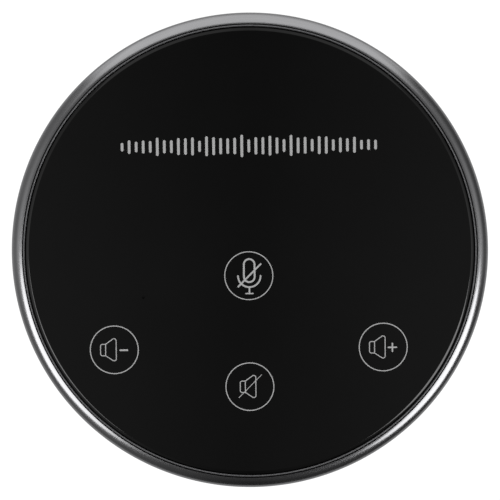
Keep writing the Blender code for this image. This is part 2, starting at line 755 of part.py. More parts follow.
def make_microphone(side, angle, rubber, metal, insulation, housing):
    """A capsule in its boot, and the lead from it to its connector under the board."""
    turn = around(angle)

    def out(distance, height=SLOT_CENTRE_Z):
        return turn @ Vector((distance, 0, height))

    boot_span = [(out(BOOT_BACK), out(BOOT_FRONT))]
    boot = cylinders(f"mic_boot_{side}", BOOT_RADIUS, boot_span, rubber, BOOT_STEPS)
    seat_span = [(out(BOOT_BACK + BOOT_WALL), out(OVERALL_RADIUS))]
    lead_span = [(out(BOOT_BACK - BOOT_WALL), out(CAPSULE_BACK))]
    seat = cylinders(f"mic_seat_{side}", CAPSULE_RADIUS + FIT_GAP, seat_span, steps=BOOT_STEPS)
    cut(boot, seat, cylinders(f"mic_lead_hole_{side}", LEAD_HOLE, lead_span, steps=HOLE_STEPS))

    capsule_span = [(out(CAPSULE_BACK), out(CAPSULE_BACK + CAPSULE_LENGTH))]
    cylinders(f"mic_capsule_{side}", CAPSULE_RADIUS, capsule_span, metal, BOOT_STEPS)

    width, depth, height = CONNECTOR_SIZE
    connector_z = PART_UNDER_SEAT - height / 2
    centre = (CONNECTOR_DISTANCE, 0, connector_z)
    box(f"mic_connector_{side}", (width, depth, height), centre, housing, CHIP_EDGE, turn=turn)

    start = CAPSULE_BACK - FIT_GAP
    end = CONNECTOR_DISTANCE + width / 2 + FIT_GAP
    middle = (start + end) / 2
    sag = LEAD_RADIUS
    points = [
        out(start),
        out(BOOT_BACK - LEAD_RADIUS),
        out(middle, (SLOT_CENTRE_Z + connector_z) / 2 - sag),
        out(end + LEAD_RADIUS, connector_z),
        out(end, connector_z),
    ]
    wire(f"mic_lead_{side}", points, LEAD_RADIUS, insulation)


# Fasteners


def make_case_screw(name, place, steel):
    """A pan-head screw, head down, that reaches through the board into the tray."""
    head_top = COUNTERBORE_TOP - FIT_GAP
    head_bottom = head_top - SCREW_HEAD_HEIGHT
    shank_top = head_top + SCREW_LENGTH
    profile = [
        (0, shank_top),
        (SCREW_TIP_RADIUS, shank_top),
        (SCREW_RADIUS, shank_top - SCREW_TIP),
        (SCREW_RADIUS, head_top),
        (SCREW_HEAD_RADIUS, head_top),
        (SCREW_HEAD_RADIUS, head_top - SCREW_HEAD_SIDE),
        (SCREW_HEAD_FLAT_RADIUS, head_bottom),
        (0, head_bottom),
    ]
    screw = turned(f"case_screw_{name}", profile, steel, SMALL_STEPS)
    screw.location = (*place, 0)

    def cross(bm):
        for size in ((RECESS_SPAN, RECESS_WIDTH), (RECESS_WIDTH, RECESS_SPAN)):
            add_box(bm, (*size, 2 * RECESS_DEPTH), (*place, head_bottom))

    recess = mesh_object(f"recess_{name}", cross)
    cut(screw, recess)
    screw.modifiers[-1].use_self = True
    return screw


def main():
    glass = new_material("panel_glass", (0.008, 0.008, 0.009), 0.05)
    ring_metal = new_material("ring_metal", (0.36, 0.36, 0.37), 0.28, 1.0)
    shell_plastic = new_material("shell_plastic", (0.02, 0.02, 0.022), 0.55)
    tray_plastic = new_material("tray_plastic", (0.03, 0.03, 0.03), 0.6)
    film = new_material("adhesive_film", (0.55, 0.5, 0.42), 0.6)
    rubber = new_material("black_rubber", (0.025, 0.025, 0.025), 0.85)
    label_film = new_material("label_film", (0.45, 0.46, 0.48), 0.4)
    cloth = new_material("mesh_cloth", (0.015, 0.015, 0.015), 0.9)
    steel = new_material("bright_steel", (0.6, 0.6, 0.6), 0.3, 1.0)
    weight_steel = new_material("weight_steel", (0.42, 0.43, 0.45), 0.45, 1.0)
    laminate = new_material("board_laminate", (0.01, 0.09, 0.04), 0.4)
    chip_plastic = new_material("chip_plastic", (0.02, 0.02, 0.02), 0.5)
    can = new_material("capacitor_can", (0.7, 0.7, 0.72), 0.3, 1.0)
    lamp = new_material("lamp_resin", (0.85, 0.83, 0.7), 0.3)
    brass = new_material("socket_brass", (0.7, 0.5, 0.2), 0.3, 1.0)
    capsule_metal = new_material("capsule_metal", (0.6, 0.6, 0.58), 0.35, 1.0)
    insulation = new_material("lead_insulation", (0.35, 0.02, 0.02), 0.5)
    housing = new_material("connector_housing", (0.75, 0.72, 0.62), 0.5)

    make_touch_panel(glass)
    make_panel_adhesive(film)
    make_panel_tray(tray_plastic)
    make_trim_ring(ring_metal)
    make_base_shell(shell_plastic)
    make_foot_ring(rubber)
    make_label_plate(label_film)
    make_acoustic_mesh(cloth)
    make_weight_plate(weight_steel)
    make_weight_tape(film)
    make_main_pcb(laminate)
    for name, place in KEY_PLACES.items():
        make_touch_spring(name, place, steel)
        on_board(f"key_light_{name}", place, LED_SIZE, lamp)
    on_board("audio_codec_chip", CODEC_PLACE, CODEC_SIZE, chip_plastic)
    on_board("touch_controller_chip", TOUCH_CHIP_PLACE, TOUCH_CHIP_SIZE, chip_plastic)
    on_board("clock_crystal", CRYSTAL_PLACE, CRYSTAL_SIZE, can, 3 * CHIP_EDGE)
    for name, place in CAPACITOR_PLACES.items():
        make_capacitor(name, place, can)
    make_usb_socket(steel, chip_plastic)
    make_headphone_socket(chip_plastic, brass)
    for side, angle in MIC_ANGLES.items():
        make_microphone(side, angle, rubber, capsule_metal, insulation, housing)
    for name, place in SCREW_PLACES.items():
        make_case_screw(name, place, steel)


clear_scene()
PARTS = new_collection("desktop_microphone")
TOOLS = new_collection("cutters")
main()
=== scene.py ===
"""Looks for a round desktop microphone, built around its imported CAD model.

Everything is in metres in the model's own frame: +Z is up, -Y is the user's side, +Y the sockets' side.
"""

import json
import math

import bmesh
import bpy
from mathutils import Matrix, Vector

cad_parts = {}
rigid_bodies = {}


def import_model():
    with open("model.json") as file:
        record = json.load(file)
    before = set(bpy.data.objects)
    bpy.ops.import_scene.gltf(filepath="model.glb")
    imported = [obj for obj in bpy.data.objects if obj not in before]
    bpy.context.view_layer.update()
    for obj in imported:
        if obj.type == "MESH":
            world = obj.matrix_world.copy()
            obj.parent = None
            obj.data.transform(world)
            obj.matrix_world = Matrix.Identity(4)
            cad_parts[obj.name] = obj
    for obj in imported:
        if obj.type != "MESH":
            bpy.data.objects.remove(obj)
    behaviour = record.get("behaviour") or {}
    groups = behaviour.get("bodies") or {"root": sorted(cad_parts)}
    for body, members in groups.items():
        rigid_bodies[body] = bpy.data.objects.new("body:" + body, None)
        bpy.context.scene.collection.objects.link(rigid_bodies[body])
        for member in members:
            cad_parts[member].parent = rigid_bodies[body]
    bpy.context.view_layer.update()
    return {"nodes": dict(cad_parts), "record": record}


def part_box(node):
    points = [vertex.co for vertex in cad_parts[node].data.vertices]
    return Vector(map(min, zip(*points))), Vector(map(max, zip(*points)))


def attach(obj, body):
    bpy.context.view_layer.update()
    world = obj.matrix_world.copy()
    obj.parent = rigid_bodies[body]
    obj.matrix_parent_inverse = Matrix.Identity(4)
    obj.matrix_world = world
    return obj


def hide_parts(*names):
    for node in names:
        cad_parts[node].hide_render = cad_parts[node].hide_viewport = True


for thing in list(bpy.data.objects):
    bpy.data.objects.remove(thing)
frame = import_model()

MM = 0.001
ROUND_STEPS = 288
SHELL_STEPS = 192
SHOULDER_STEPS = 5
SHARP_ANGLE = math.radians(38)
NEARLY_HALF = 0.499  # a corner's share of a box's side that rounds its end to a half circle

# Where the CAD model's pieces are
PANEL_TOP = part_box("touch_panel")[1].z
PANEL_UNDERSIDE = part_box("touch_panel")[0].z
PANEL_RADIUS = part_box("touch_panel")[1].x
RING_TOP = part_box("trim_ring")[1].z
RING_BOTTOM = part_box("trim_ring")[0].z
RING_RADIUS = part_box("trim_ring")[1].x
SHELL_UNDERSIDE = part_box("base_shell")[0].z
SPIGOT_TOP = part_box("base_shell")[1].z
SHELL_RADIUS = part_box("base_shell")[1].x
FOOT_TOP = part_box("foot_ring")[1].z
FOOT_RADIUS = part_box("foot_ring")[1].x
LABEL_LOW, LABEL_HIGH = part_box("label_plate")
BAND_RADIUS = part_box("acoustic_mesh")[1].x
USB_LOW, USB_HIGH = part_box("usb_socket_shell")
TONGUE_LOW, TONGUE_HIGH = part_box("usb_socket_tongue")
JACK_LOW, JACK_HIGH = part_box("headphone_socket_body")
SLEEVE_LOW, SLEEVE_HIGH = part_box("headphone_socket_sleeve")

# Sections of the turned pieces. A bend is its radius and the slope where it ends, in degrees.
FIT_GAP = 0.25 * MM
PANEL_EDGE_BENDS = ((0.35 * MM, 22.5), (4.4 * MM, 29.5), (0.08 * MM, 90.0))
RING_BORE = PANEL_RADIUS + FIT_GAP
RING_BEAD = 0.2 * MM
RING_GROOVE_DEPTH = 0.15 * MM
RING_SLOPE_AT_GROOVE = 7.3
RING_BENDS = ((3.3 * MM, 45.0), (1.25 * MM, 90.0))
RING_FOOT_ROUND = 0.3 * MM
RING_WALL_INNER = 48.6 * MM
RING_LEDGE_INNER = 45.6 * MM
RING_LEDGE_TOP = 19.95 * MM
RING_LEDGE_BOTTOM = 18.25 * MM
SHELL_SHOULDER = RING_BOTTOM - FIT_GAP
SHELL_DRAFT = math.radians(10)
SHELL_FLOOR = 1.9 * MM
SHELL_INSIDE_RADIUS = 46.3 * MM
SHELL_EDGE = 0.12 * MM
SHOULDER_ROUND = 0.3 * MM
TOE_ROUND = 6.0 * MM
FOOT_GROOVE_DEPTH = 0.7 * MM
LABEL_RECESS_DEPTH = 0.6 * MM
FOOT_INNER = 29.75 * MM
FOOT_EDGE = 0.3 * MM
SOLE_GROOVE_HALF_WIDTH = 0.5 * MM
SOLE_GROOVE_DEPTH = 0.25 * MM

# Marks printed on the panel
PRINT_RISE = 0.02 * MM
KEY_RING_RADIUS = 5.03 * MM
KEY_RING_LINE = 0.2 * MM
KEY_MARKS = {
    "mic_mute": (-0.29 * MM, -4.89 * MM),
    "volume_down": (-28.66 * MM, -20.21 * MM),
    "volume_up": (27.75 * MM, -20.21 * MM),
    "speaker_mute": (-0.3 * MM, -28.3 * MM),
}
WAVE_CENTRE = (0.0, 22.3 * MM)
WAVE_WIDTH = 53.4 * MM
WAVE_HEIGHT = 4.8 * MM
WAVE_BARS = 37
WAVE_LINE = 0.56 * MM
PINHOLE_PLACE = (-22.4 * MM, -9.2 * MM)
PINHOLE_RADIUS = 0.33 * MM
PINHOLE_DEPTH = 1.2 * MM

# Sound slots and the port bay
SLOT_PITCH = 9.0
SLOTLESS_HALF_ANGLE = 24.0
SLOT_WIDTH = 1.8 * MM
SLOT_HEIGHT = 4.8 * MM
SLOT_CENTRE_Z = 9.8 * MM
SLOT_CHAMFER = 0.2 * MM
SLOT_DEPTH = 4.5 * MM
SLOT_OVERSHOOT = 1.2 * MM
BAY_HALF_WIDTH = 14.8 * MM
BAY_BACK = 42.6 * MM
BAY_WALL = 1.6 * MM
BAY_BOTTOM = 4.2 * MM
BAY_TOP = 13.2 * MM
BAY_CORNER = 1.5 * MM
BAY_EDGE = 0.4 * MM
BAY_INSET = 0.6 * MM

# Sockets
SOCKET_HOLE_DEPTH = 0.3 * MM
USB_WALL = 0.3 * MM
USB_LIP = 0.1 * MM
USB_TONGUE = (6.7 * MM, 0.7 * MM)
USB_TONGUE_TIP = (6.3 * MM, 0.5 * MM)
USB_LINER_DEPTH = 1.6 * MM
USB_LINER_CORNER = 1.1 * MM
USB_CONTACTS = 12
USB_CONTACT_PITCH = 0.5 * MM
USB_CONTACT = (0.26 * MM, 0.06 * MM)
USB_CONTACT_OFFSET = 0.36 * MM
JACK_BARREL_RADIUS = 2.75 * MM
JACK_BORE = 1.8 * MM
JACK_BODY_HEIGHT = 5.0 * MM
SLEEVE_WALL = 0.4 * MM

# Camera and lights
CAMERA_TILT = math.radians(5.0)
CAMERA_ROLL = math.radians(-0.6)
CAMERA_DISTANCE = 0.58
CAMERA_AIM = (0.02 * MM, 0.33 * MM)
VIEW_WIDTH = 104.92 * MM
SENSOR_WIDTH = 36.0
FLOOR_RADIUS = 6.0


# Shaders


def new_node(tree, kind, settings=(), **inputs):
    """A shader node. Its inputs are values, or sockets that are linked to them."""
    node = tree.nodes.new(kind)
    for key, value in dict(settings).items():
        setattr(node, key, value)
    for key, value in inputs.items():
        socket = node.inputs[int(key[1:])] if key[0] == "i" and key[1:].isdigit() else node.inputs[key]
        if isinstance(value, bpy.types.NodeSocket):
            tree.links.new(value, socket)
        else:
            socket.default_value = value
    return node


def new_material(name, **values):
    """A material with a Principled shader that has these plain values."""
    made = bpy.data.materials.new(name)
    made.use_nodes = True
    tree = made.node_tree
    shader = tree.nodes["Principled BSDF"]
    for key, value in values.items():
        shader.inputs[key.replace("_", " ")].default_value = value
    return made, tree, shader


def place_in_object(tree):
    return new_node(tree, "ShaderNodeTexCoord").outputs["Object"]


def noise(tree, vector, scale, detail=4.0, roughness=0.55):
    made = new_node(
        tree, "ShaderNodeTexNoise", Vector=vector, Scale=scale, Detail=detail, Roughness=roughness
    )
    return made.outputs["Fac"]


def remap(tree, value, low, high, start=0.3, end=0.7):
    """From low to high as value goes from start to end, and level outside them."""
    made = new_node(tree, "ShaderNodeMapRange", i0=value, i1=start, i2=end, i3=low, i4=high)
    return made.outputs[0]


def blend_colours(tree, factor, first, second):
    """From the first grey or colour to the second as factor goes from 0 to 1."""
    mix = new_node(tree, "ShaderNodeMix", {"data_type": "RGBA"}, i0=factor)
    for index, colour in ((6, first), (7, second)):
        mix.inputs[index].default_value = (*colour, 1.0)
    return mix.outputs[2]


def maths(tree, operation, first, second=0.0):
    return new_node(tree, "ShaderNodeMath", {"operation": operation}, i0=first, i1=second).outputs[0]


def mixed(tree, first, first_share, second):
    """Two values added, by their shares of the whole."""
    part = maths(tree, "MULTIPLY", first, first_share)
    rest = maths(tree, "MULTIPLY", second, 1 - first_share)
    return maths(tree, "ADD", part, rest)


def bumped(tree, shader, height, distance, strength=1.0):
    bump = new_node(tree, "ShaderNodeBump", Height=height, Distance=distance, Strength=strength)
    tree.links.new(bump.outputs["Normal"], shader.inputs["Normal"])


def grey(value):
    return (value, value, value)


def grained(name, dark, light, roughness, grain, bump, cloud=0.02, stretch=(1, 1, 1), **values):
    """A surface with a fine grain in its relief and roughness, and a broad cloud in its colour.

    grain and cloud are the sizes of their features, and bump is the grain's depth, all in metres.
    stretch multiplies the grain's fineness along X, Y and Z.
    """
    made, tree, shader = new_material(name, **values)
    place = place_in_object(tree)
    mapped = new_node(tree, "ShaderNodeMapping", Vector=place, Scale=stretch).outputs[0]
    fine = noise(tree, mapped, 1 / grain)
    broad = noise(tree, place, 1 / cloud, 3.0)
    both = mixed(tree, broad, 0.6, fine)
    tree.links.new(blend_colours(tree, remap(tree, both, 0, 1), dark, light), shader.inputs["Base Color"])
    tree.links.new(remap(tree, both, *roughness), shader.inputs["Roughness"])
    bumped(tree, shader, fine, bump)
    return made


def metal(name, dark, light, roughness, grain=0.1 * MM, bump=0.001 * MM, **options):
    """A grained surface of bare or plated metal."""
    return grained(name, dark, light, roughness, grain, bump, Metallic=1.0, **options)


def radial_place(tree):
    """The distance from the Z axis, the way round it as an angle, and the height."""
    x, y, z = new_node(tree, "ShaderNodeSeparateXYZ", Vector=place_in_object(tree)).outputs
    squares = maths(tree, "ADD", maths(tree, "MULTIPLY", x, x), maths(tree, "MULTIPLY", y, y))
    return maths(tree, "SQRT", squares), maths(tree, "ARCTAN2", y, x), z


def make_glass():
    """Polished black glass, with a very faint film of handling on it."""
    made, tree, shader = new_material("panel_glass", IOR=1.5, Specular_IOR_Level=0.27)
    place = place_in_object(tree)
    film = noise(tree, place, 28.0, 5.0, 0.6)
    tree.links.new(remap(tree, film, 0.035, 0.075), shader.inputs["Roughness"])
    tint = blend_colours(tree, remap(tree, film, 0, 1), grey(0.0008), grey(0.0013))
    tree.links.new(tint, shader.inputs["Base Color"])
    bumped(tree, shader, noise(tree, place, 90.0, 2.0), 0.4e-6)
    return made


def make_print():
    """Pale grey ink with a clear gloss over it, like the glass around it."""
    made, tree, shader = new_material(
        "key_print", Roughness=0.5, IOR=1.5, Coat_Weight=1.0, Coat_Roughness=0.05
    )
    speck = noise(tree, place_in_object(tree), 9000.0, 2.0)
    ink = blend_colours(tree, remap(tree, speck, 0, 1), grey(0.165), grey(0.195))
    tree.links.new(ink, shader.inputs["Base Color"])
    return made


def make_ring_metal():
    """Gun-metal anodised aluminium with the fine lines of a lathe running round it."""
    made, tree, shader = new_material("ring_metal", Metallic=1.0)
    out, way_round, height = radial_place(tree)
    drawn_out = maths(tree, "MULTIPLY", way_round, 0.0006)
    across = new_node(tree, "ShaderNodeCombineXYZ", X=out, Y=drawn_out, Z=height).outputs[0]
    lines = noise(tree, across, 9000.0, 3.0, 0.6)
    cloud = noise(tree, place_in_object(tree), 60.0, 3.0)
    both = mixed(tree, lines, 0.6, cloud)
    tint = blend_colours(tree, remap(tree, both, 0, 1), (0.115, 0.115, 0.118), (0.145, 0.145, 0.148))
    bead_end = RING_BORE + 2 * RING_BEAD
    at_bead = remap(tree, out, 1, 0, bead_end, bead_end + 0.2 * RING_BEAD)
    bead_tint = (0.07, 0.07, 0.072, 1.0)
    mix = new_node(tree, "ShaderNodeMix", {"data_type": "RGBA"}, i0=at_bead, i6=tint, i7=bead_tint)
    tree.links.new(mix.outputs[2], shader.inputs["Base Color"])
    duller = maths(tree, "MULTIPLY", at_bead, 0.3)
    roughness = maths(tree, "ADD", remap(tree, both, 0.16, 0.21), duller)
    tree.links.new(roughness, shader.inputs["Roughness"])
    bumped(tree, shader, lines, 1.5e-6)
    return made


def make_cloth():
    """Woven acoustic cloth: threads over and under each other round the band."""
    made, tree, shader = new_material("mesh_cloth", Roughness=0.85, Sheen_Weight=0.3, Sheen_Roughness=0.4)
    _, way_round, height = radial_place(tree)
    thread = 0.32 * MM
    warp = maths(tree, "SINE", maths(tree, "MULTIPLY", way_round, BAND_RADIUS * math.tau / thread))
    weft = maths(tree, "SINE", maths(tree, "MULTIPLY", height, math.tau / thread))
    weave = maths(tree, "MULTIPLY", warp, weft)
    factor = remap(tree, weave, 0, 1, -1, 1)
    tree.links.new(blend_colours(tree, factor, grey(0.004), grey(0.03)), shader.inputs["Base Color"])
    bumped(tree, shader, factor, 60e-6)
    return made


def make_laminate():
    """Green solder mask with copper tracks under it."""
    made, tree, shader = new_material("board_laminate", Roughness=0.32, IOR=1.5)
    place = place_in_object(tree)
    tracks = new_node(
        tree, "ShaderNodeTexBrick", {"offset": 0.37, "squash": 0.6},
        Vector=place, Scale=90.0, i5=0.035, i6=0.1,
    ).outputs["Fac"]
    cells = new_node(
        tree, "ShaderNodeTexVoronoi", {"feature": "DISTANCE_TO_EDGE"}, Vector=place, Scale=260.0
    )
    lines = maths(tree, "LESS_THAN", cells.outputs["Distance"], 0.05)
    copper = maths(tree, "MAXIMUM", tracks, lines)
    mask = blend_colours(tree, copper, (0.004, 0.05, 0.018), (0.012, 0.11, 0.035))
    tree.links.new(mask, shader.inputs["Base Color"])
    bumped(tree, shader, copper, 20e-6)
    return made


# Mesh work


def arc(centre, radius, start, end, steps):
    """Points on a circle from one angle to another, in degrees."""
    angles = [math.radians(start + (end - start) * i / steps) for i in range(steps + 1)]
    return [(centre[0] + radius * math.cos(a), centre[1] + radius * math.sin(a)) for a in angles]


def convex_edge(start_slope, bends, outer_radius, top, steps=12):
    """An edge that bends down and outwards to the vertical at outer_radius, as points of (radius, height).

    Each bend is a radius and the slope where it ends, in degrees. The edge starts at the height top.
    """
    slope = start_slope
    points = [(0.0, 0.0)]
    for radius, end in bends:
        x, z = points[-1]
        turn = math.radians(slope)
        centre = (x - radius * math.sin(turn), z - radius * math.cos(turn))
        points += arc(centre, radius, 90 - slope, 90 - end, steps)[1:]
        slope = end
    shift = outer_radius - points[-1][0]
    return [(x + shift, z + top) for x, z in points]


def finish_mesh(bm, name, material=None):
    """An object from this mesh, smooth except at its sharp edges."""
    bmesh.ops.recalc_face_normals(bm, faces=bm.faces)
    mesh = bpy.data.meshes.new(name)
    bm.to_mesh(mesh)
    bm.free()
    made = bpy.data.objects.new(name, mesh)
    bpy.context.scene.collection.objects.link(made)
    if material is not None:
        mesh.materials.append(material)
    smooth(made)
    return made


def smooth(made):
    made.data.shade_smooth()
    made.data.set_sharp_from_angle(angle=SHARP_ANGLE)


def weigh_normals(made):
    """Large flat faces keep their own direction, so that rounded edges shade cleanly beside them."""
    modifier = made.modifiers.new("weighted normals", "WEIGHTED_NORMAL")
    modifier.mode = "FACE_AREA"
    modifier.keep_sharp = True


def show(made, slot, *nodes):
    """This finished piece is part of the object, and stands for these CAD nodes."""
    weigh_normals(made)
    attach(made, "root")
    if nodes:
        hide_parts(*nodes)
    return made


def turned(name, profile, material=None, steps=ROUND_STEPS):
    """A turned solid about Z. Its profile of (radius, height) is closed, or starts and ends on the axis."""
    bm = bmesh.new()
    verts = [bm.verts.new((r, 0, z)) for r, z in profile]
    edges = [bm.edges.new(pair) for pair in zip(verts, verts[1:])]
    if profile[0][0] > 0:
        edges.append(bm.edges.new((verts[-1], verts[0])))
    bmesh.ops.spin(
        bm, geom=verts + edges, cent=(0, 0, 0), axis=(0, 0, 1), angle=math.tau, steps=steps, use_merge=True
    )
    bmesh.ops.remove_doubles(bm, verts=bm.verts, dist=0.0001 * MM)
    return finish_mesh(bm, name, material)


def lofted(name, rings, material=None, turn=None, capped=True):
    """A solid through rings of points, which all have the same number of points."""
    bm = bmesh.new()
    loops = [[bm.verts.new(point) for point in ring] for ring in rings]
    if not capped:
        loops.append(loops[0])
    for near, far in zip(loops, loops[1:]):
        for i in range(len(near)):
            j = (i + 1) % len(near)
            bm.faces.new((near[i], near[j], far[j], far[i]))
    if capped:
        bm.faces.new(loops[0])
        bm.faces.new(loops[-1])
    if turn is not None:
        bmesh.ops.transform(bm, matrix=turn, verts=bm.verts)
    return finish_mesh(bm, name, material)


def rounded_box_outline(width, height, corner, steps=8):
    """The outline of a box with round corners, about its centre."""
    right, top = width / 2 - corner, height / 2 - corner
    corners = ((right, top, 0), (-right, top, 90), (-right, -top, 180), (right, -top, 270))
    return [p for x, y, start in corners for p in arc((x, y), corner, start, start + 90, steps)]


def along_y(outline, y, x=0.0, z=0.0):
    """This outline, stood up across the Y axis at y."""
    return [(x + a, y, z + b) for a, b in outline]


def combined(base, others, operation):
    """base with a Boolean by each of the others, which are used up."""
    for other in others:
        modifier = base.modifiers.new(other.name, "BOOLEAN")
        modifier.operation = operation
        modifier.object = other
    bpy.context.view_layer.update()
    evaluated = base.evaluated_get(bpy.context.evaluated_depsgraph_get())
    mesh = bpy.data.meshes.new_from_object(evaluated)
    base.modifiers.clear()
    base.data = mesh
    for other in others:
        bpy.data.objects.remove(other)
    smooth(base)
    return base


def cylinder(name, radius, start, end, material=None, steps=48):
    start, end = Vector(start), Vector(end)
    turn = (end - start).to_track_quat("Z", "Y").to_matrix().to_4x4()
    bm = bmesh.new()
    bmesh.ops.create_cone(
        bm, cap_ends=True, segments=steps, radius1=radius, radius2=radius, depth=(end - start).length,
        matrix=Matrix.Translation((start + end) / 2) @ turn,
    )
    return finish_mesh(bm, name, material)


def crisp_smooth_group():
    """Nodes that weld a CAD node's mesh and shade it smooth, except at its sharp edges."""
    group = bpy.data.node_groups.new("crisp_smooth", "GeometryNodeTree")
    group.interface.new_socket("Geometry", in_out="INPUT", socket_type="NodeSocketGeometry")
    group.interface.new_socket("Geometry", in_out="OUTPUT", socket_type="NodeSocketGeometry")
    start = group.nodes.new("NodeGroupInput").outputs[0]
    plain = new_node(group, "GeometryNodeRemoveAttribute", Geometry=start, Name="custom_normal").outputs[0]
    weld = new_node(group, "GeometryNodeMergeByDistance", Geometry=plain, Distance=0.001 * MM).outputs[0]
    angle = new_node(group, "GeometryNodeInputMeshEdgeAngle").outputs["Unsigned Angle"]
    above = {"operation": "GREATER_THAN"}
    sharp = new_node(group, "FunctionNodeCompare", above, i0=angle, i1=SHARP_ANGLE).outputs[0]
    faces = new_node(group, "GeometryNodeSetShadeSmooth", Geometry=weld).outputs[0]
    edges = {"domain": "EDGE"}
    crisp = new_node(group, "GeometryNodeSetShadeSmooth", edges, i0=faces, i1=sharp, i2=False).outputs[0]
    group.links.new(crisp, group.nodes.new("NodeGroupOutput").inputs[0])
    return group


# The panel and its print


def make_touch_panel(glass):
    """A glass disc with an eased edge and a pinhole."""
    edge = convex_edge(0.0, PANEL_EDGE_BENDS, PANEL_RADIUS, PANEL_TOP, 6)
    profile = [(0, PANEL_TOP), *edge, (PANEL_RADIUS, PANEL_UNDERSIDE), (0, PANEL_UNDERSIDE)]
    panel = turned("glass_panel", profile, glass)
    x, y = PINHOLE_PLACE
    bottom, top = (x, y, PANEL_TOP - PINHOLE_DEPTH), (x, y, PANEL_TOP + PINHOLE_DEPTH)
    combined(panel, [cylinder("pinhole", PINHOLE_RADIUS, bottom, top)], "DIFFERENCE")
    show(panel, "touch_panel", "touch_panel")


def line_mark(name, points, width, closed=False, shift=(0, 0)):
    """A printed line through these points, as a thin solid on the panel. An open line has round ends."""
    points = [Vector(p) for p in points]
    count = len(points)
    left, right = [], []
    for i, point in enumerate(points):
        steps = []
        if closed or i > 0:
            steps.append((point - points[i - 1]).normalized())
        if closed or i < count - 1:
            steps.append((points[(i + 1) % count] - point).normalized())
        normals = [Vector((-s.y, s.x)) for s in steps]
        mitre = sum(normals, Vector((0, 0))).normalized()
        reach = mitre * (width / 2 / mitre.dot(normals[0]))
        left.append(point + reach)
        right.append(point - reach)
    base = PANEL_TOP + 0.1 * PRINT_RISE
    bm = bmesh.new()

    def vert(p):
        return bm.verts.new((p[0] + shift[0], p[1] + shift[1], base))

    if closed:
        inner, outer = [vert(p) for p in left], [vert(p) for p in right]
        for i in range(count):
            j = (i + 1) % count
            bm.faces.new((inner[i], inner[j], outer[j], outer[i]))
    else:
        first, last = points[1] - points[0], points[-1] - points[-2]
        tip = math.degrees(math.atan2(last.y, last.x))
        tail = math.degrees(math.atan2(first.y, first.x))
        end_cap = arc(points[-1], width / 2, tip - 90, tip + 90, 8)
        start_cap = arc(points[0], width / 2, tail + 90, tail + 270, 8)
        outline = [*right[1:-1], *end_cap, *reversed(left[1:-1]), *start_cap]
        bm.faces.new([vert(p) for p in outline])
    grown = bmesh.ops.extrude_face_region(bm, geom=bm.faces[:])
    top = [v for v in grown["geom"] if isinstance(v, bmesh.types.BMVert)]
    bmesh.ops.translate(bm, verts=top, vec=(0, 0, PRINT_RISE))
    return finish_mesh(bm, name)


def rounded_path(corners):
    """Points round a closed outline. Each corner is (x, y, radius), and its arc touches both sides."""
    path = []
    count = len(corners)
    for i, (x, y, radius) in enumerate(corners):
        here = Vector((x, y))
        before = (Vector(corners[i - 1][:2]) - here).normalized()
        after = (Vector(corners[(i + 1) % count][:2]) - here).normalized()
        if radius == 0:
            path.append(tuple(here))
            continue
        half = before.angle(after) / 2
        centre = here + (before + after).normalized() * (radius / math.sin(half))
        start = here + before * (radius / math.tan(half)) - centre
        turn = before.angle_signed(after)
        sweep = math.copysign(math.pi - abs(turn), turn)
        for k in range(9):
            spot = start.copy()
            spot.rotate(Matrix.Rotation(sweep * k / 8, 2))
            path.append(tuple(centre + spot))
    return path


def key_ring(shift):
    """The round outline of a key."""
    circle = arc((0, 0), KEY_RING_RADIUS, 0, 360, 96)[:-1]
    return line_mark("key_ring", circle, KEY_RING_LINE, True, shift)


def in_mm(points):
    return [tuple(value * MM for value in point) for point in points]


def mic_lines(shift):
    """A microphone in its cradle, crossed out."""
    capsule = arc((0.1, 2.37), 1.12, 0, 180, 20) + arc((0.1, -0.23), 1.12, 180, 360, 20)
    cradle = arc((0.1, -0.04), 2.36, 180, 360, 40)
    return [
        line_mark("mic_capsule_line", in_mm(capsule), 0.37 * MM, True, shift),
        line_mark("mic_cradle_line", in_mm(cradle), 0.35 * MM, False, shift),
        line_mark("mic_stem_line", in_mm([(0.1, -2.43), (0.1, -3.75)]), 0.34 * MM, False, shift),
        line_mark("mic_foot_line", in_mm([(-0.62, -3.75), (0.86, -3.75)]), 0.28 * MM, False, shift),
        line_mark("mic_slash_line", in_mm([(-2.22, -2.28), (2.5, 2.43)]), 0.35 * MM, False, shift),
    ]


def speaker_lines(shift):
    """A loudspeaker seen from the side: a box and a cone."""
    line = 0.19 * MM
    throat_top, throat_bottom = (-1.82, 1.18, 0), (-1.82, -1.24, 0)
    box = [throat_top, (-2.88, 1.18, 0.4), (-2.88, -1.24, 0.4), throat_bottom]
    cone = [throat_top, (0.4, 2.78, 0.45), (0.4, -2.72, 0.45), throat_bottom]
    return [
        line_mark("speaker_box_line", rounded_path(in_mm(box)), line, True, shift),
        line_mark("speaker_cone_line", rounded_path(in_mm(cone)), line, True, shift),
    ]


def minus_lines(shift):
    return [line_mark("minus_line", in_mm([(1.25, -0.1), (2.75, -0.1)]), 0.36 * MM, False, shift)]


def plus_lines(shift):
    return [
        line_mark("plus_across_line", in_mm([(1.08, -0.08), (2.76, -0.08)]), 0.32 * MM, False, shift),
        line_mark("plus_upright_line", in_mm([(1.92, -0.92), (1.92, 0.76)]), 0.32 * MM, False, shift),
    ]


def speaker_mute_lines(shift):
    """A loudspeaker in the middle of its key, crossed out."""
    moved = (shift[0] + 0.86 * MM, shift[1] + 0.02 * MM)
    slash = line_mark("speaker_slash_line", in_mm([(-2.3, -2.3), (2.48, 2.5)]), 0.14 * MM, False, shift)
    return [*speaker_lines(moved), slash]


